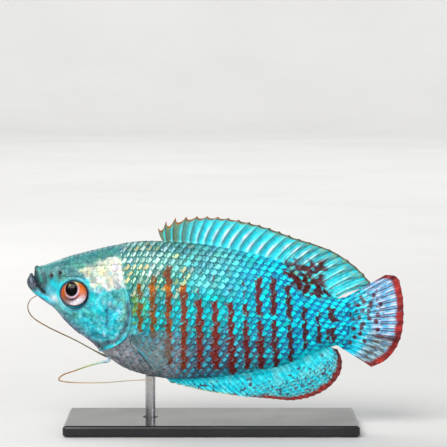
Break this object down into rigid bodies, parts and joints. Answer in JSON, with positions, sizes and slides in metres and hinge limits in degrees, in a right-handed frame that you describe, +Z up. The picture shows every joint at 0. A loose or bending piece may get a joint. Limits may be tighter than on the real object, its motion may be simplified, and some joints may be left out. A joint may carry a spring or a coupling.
{
  "type": "dwarf gourami",
  "caption": "Still life-size model of a male dwarf gourami with raised dorsal fin, full anal and tail fins and thread-like pelvic feelers, held on a flat base by a short rod.",
  "frame": {"origin": "centre of the stand's underside, on the surface that the stand rests on", "axes": "+X along the fish from head to tail, +Y from the fish's left side to its right side, +Z up"},
  "size_m": [0.0753, 0.023, 0.0424],
  "materials": {
    "skin": "wet, finely scaled skin in turquoise with rust-red bars",
    "lips": "dark, softly wet skin",
    "eyes": "clear wet gloss over an orange-red iris and a black pupil",
    "fins": "wet membrane over raised rays, turquoise with red edges",
    "clear_fins": "thin clear membrane over fine rays",
    "feelers": "soft wet thread, pale at the root and orange along its length",
    "stand": "polished black sheet with eased edges",
    "rod": "fine brushed"
  },
  "bodies": {
    "root": {"head": "skin", "gill_cover_left": "skin", "gill_cover_right": "skin", "trunk": "skin", "tail_stem": "skin", "upper_lip": "lips", "lower_jaw": "lips", "eye_left": "eyes", "eye_right": "eyes", "dorsal_fin": "fins", "anal_fin": "fins", "caudal_fin": "fins", "pectoral_fin_left": "clear_fins", "pectoral_fin_right": "clear_fins", "pelvic_feeler_left": "feelers", "pelvic_feeler_right": "feelers", "stand_base": "stand", "stand_rod": "rod"}
  },
  "joints": []
}
